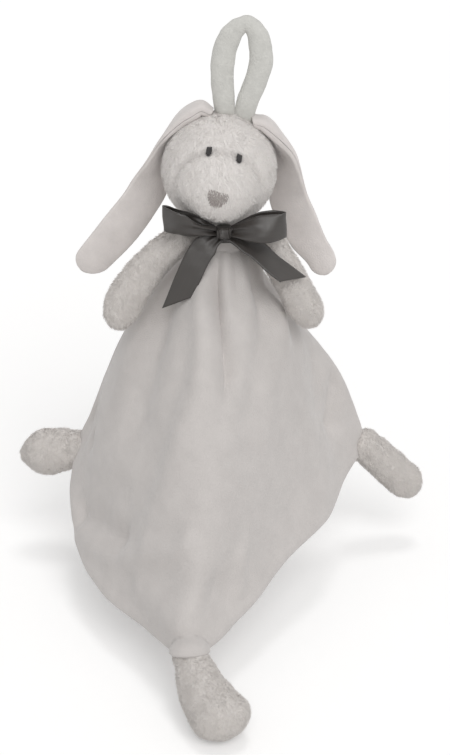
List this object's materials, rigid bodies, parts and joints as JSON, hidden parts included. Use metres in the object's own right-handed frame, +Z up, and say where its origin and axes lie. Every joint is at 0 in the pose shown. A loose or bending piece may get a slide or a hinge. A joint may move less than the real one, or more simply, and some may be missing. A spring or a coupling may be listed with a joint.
{
  "type": "comfort blanket",
  "caption": "Soft comfort blanket: a stuffed bunny head with lop ears and hanging loop, satin bow, two arms, and a square velour cloth hung by one corner with stuffed feet at the others.",
  "frame": {"origin": "inner top of the hanging loop, where a hook or finger bears", "axes": "+Z up, -Y towards the viewer, the way the face looks; +X to the viewer's right"},
  "size_m": [0.2711, 0.2524, 0.3718],
  "materials": {
    "pale_plush": "matte",
    "grey_plush": "matte",
    "grey_velour": "matte",
    "ear_velour": "matte",
    "white_velour": "matte",
    "white_filling": "matte",
    "taupe_satin": "satin",
    "black_thread": "matte",
    "grey_rose_thread": "matte"
  },
  "bodies": {
    "head": {"head_cover": "pale_plush", "head_filling": "white_filling", "eye_left": "black_thread", "eye_right": "black_thread", "nose": "grey_rose_thread"},
    "loop": {"hanging_loop": "white_velour"},
    "ear_left": {"ear_left_outer": "ear_velour", "ear_left_lining": "ear_velour"},
    "ear_right": {"ear_right_outer": "ear_velour", "ear_right_lining": "ear_velour"},
    "blanket": {"neck_core": "white_filling", "blanket_front": "grey_velour", "blanket_back": "grey_velour", "ribbon_band": "taupe_satin", "ribbon_knot": "taupe_satin", "ribbon_loop_left": "taupe_satin", "ribbon_loop_right": "taupe_satin"},
    "arm_left": {"arm_left_cover": "grey_plush", "arm_left_filling": "white_filling"},
    "arm_right": {"arm_right_cover": "grey_plush", "arm_right_filling": "white_filling"},
    "foot_left": {"foot_left_cover": "grey_plush", "foot_left_filling": "white_filling"},
    "foot_right": {"foot_right_cover": "grey_plush", "foot_right_filling": "white_filling"},
    "foot_front": {"foot_front_cover": "grey_plush", "foot_front_filling": "white_filling"},
    "tail_left": {"ribbon_tail_left": "taupe_satin"},
    "tail_right": {"ribbon_tail_right": "taupe_satin"}
  },
  "joints": [
    {"name": "neck_turn", "type": "hinge", "parent": "head", "child": "blanket", "pos_m": [-0.01297, -0.00399, -0.12622], "axis": [0, 0, 1], "range_deg": [-15, 15], "stiffness_Nm_per_rad": 0.01},
    {"name": "loop_bend", "type": "hinge", "parent": "head", "child": "loop", "pos_m": [-0.00758, 0, -0.04747], "axis": [1, 0, 0], "range_deg": [-55, 55], "stiffness_Nm_per_rad": 0.003},
    {"name": "ear_left_lift", "type": "hinge", "parent": "head", "child": "ear_left", "pos_m": [-0.02547, 0, -0.04821], "axis": [0, 1, 0], "range_deg": [0, 80]},
    {"name": "ear_right_lift", "type": "hinge", "parent": "head", "child": "ear_right", "pos_m": [0.0081, 0, -0.05706], "axis": [0, -1, 0], "range_deg": [0, 60]},
    {"name": "arm_left_swing", "type": "hinge", "parent": "blanket", "child": "arm_left", "pos_m": [-0.03929, -0.01104, -0.12382], "axis": [0, 0, 1], "range_deg": [0, 30], "stiffness_Nm_per_rad": 0.003},
    {"name": "arm_right_swing", "type": "hinge", "parent": "blanket", "child": "arm_right", "pos_m": [0.01183, -0.01401, -0.12382], "axis": [0, 0, -1], "range_deg": [0, 24], "stiffness_Nm_per_rad": 0.003},
    {"name": "foot_left_fold", "type": "hinge", "parent": "blanket", "child": "foot_left", "pos_m": [-0.11238, 0.0181, -0.28532], "axis": [0, 0, 1], "range_deg": [-35, 8], "stiffness_Nm_per_rad": 0.004},
    {"name": "foot_right_fold", "type": "hinge", "parent": "blanket", "child": "foot_right", "pos_m": [0.0815, 0.02609, -0.28814], "axis": [0, 0, 1], "range_deg": [-35, 35], "stiffness_Nm_per_rad": 0.004},
    {"name": "foot_front_lift", "type": "hinge", "parent": "blanket", "child": "foot_front", "pos_m": [-0.03342, -0.16403, -0.32926], "axis": [-1, 0, 0], "range_deg": [0, 45]},
    {"name": "tail_left_lift", "type": "hinge", "parent": "blanket", "child": "tail_left", "pos_m": [-0.01757, -0.02854, -0.12232], "axis": [-1, 0, 0], "range_deg": [0, 20]},
    {"name": "tail_right_lift", "type": "hinge", "parent": "blanket", "child": "tail_right", "pos_m": [-0.00977, -0.02854, -0.12232], "axis": [-1, 0, 0], "range_deg": [0, 20]}
  ]
}
